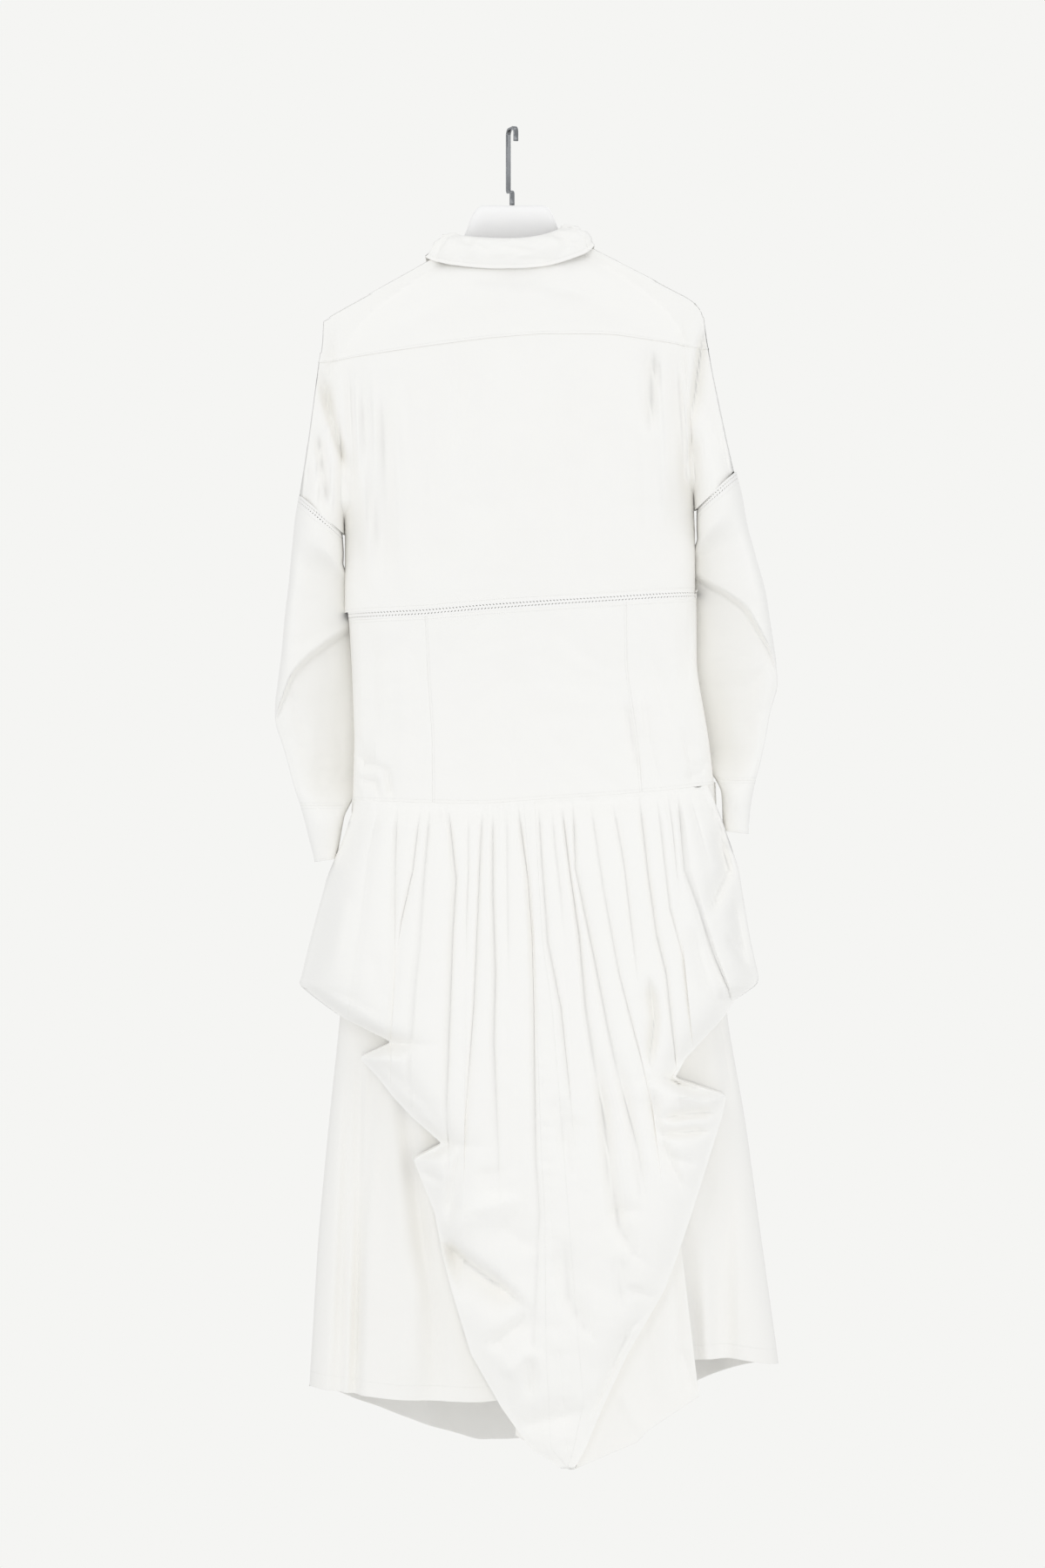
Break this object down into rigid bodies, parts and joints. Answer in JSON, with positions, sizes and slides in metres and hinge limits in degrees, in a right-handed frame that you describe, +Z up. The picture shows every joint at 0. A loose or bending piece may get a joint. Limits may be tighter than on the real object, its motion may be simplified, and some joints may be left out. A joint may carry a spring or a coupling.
{
  "type": "shirt dress on a hanger",
  "caption": "Long-sleeved cotton shirt dress with openwork bands, a dropped waist and a gathered, draped back overskirt, hanging on a broad hanger with a flat hook.",
  "frame": {"origin": "underside of the hook's top, where it rests on the rail or peg that carries it", "axes": "+Z up; the back of the dress faces -Y and its front +Y, so +X is the wearer's right"},
  "size_m": [0.5771, 0.267, 1.5242],
  "materials": {
    "poplin": "plain-weave cotton poplin, matt",
    "openwork": "cotton ladder insertion",
    "shell_button": "white button",
    "white_plastic": "satin moulded",
    "steel": "polished"
  },
  "bodies": {
    "root": {"hanger": "white_plastic", "hook": "steel", "collar_stand": "poplin", "collar_fall": "poplin", "back_yoke": "poplin", "back_upper": "poplin", "front_upper_left": "poplin", "front_upper_right": "poplin", "openwork_back": "openwork", "openwork_front": "openwork", "lower_back_left": "poplin", "lower_back_centre": "poplin", "lower_back_right": "poplin", "lower_front_right": "poplin", "lower_front_left": "poplin", "placket": "poplin", "button_front_1": "shell_button", "button_front_2": "shell_button", "button_front_3": "shell_button", "button_front_4": "shell_button", "button_front_5": "shell_button", "button_front_6": "shell_button", "button_front_7": "shell_button", "button_front_8": "shell_button", "button_front_9": "shell_button", "openwork_sleeve_left": "openwork", "sleeve_left": "poplin", "cuff_left": "poplin", "button_cuff_left": "shell_button", "openwork_sleeve_right": "openwork", "sleeve_right": "poplin", "cuff_right": "poplin", "button_cuff_right": "shell_button", "underskirt_back": "poplin", "underskirt_front": "poplin", "overskirt_left": "poplin", "overskirt_right": "poplin", "overskirt_underlayer": "poplin"}
  },
  "joints": []
}
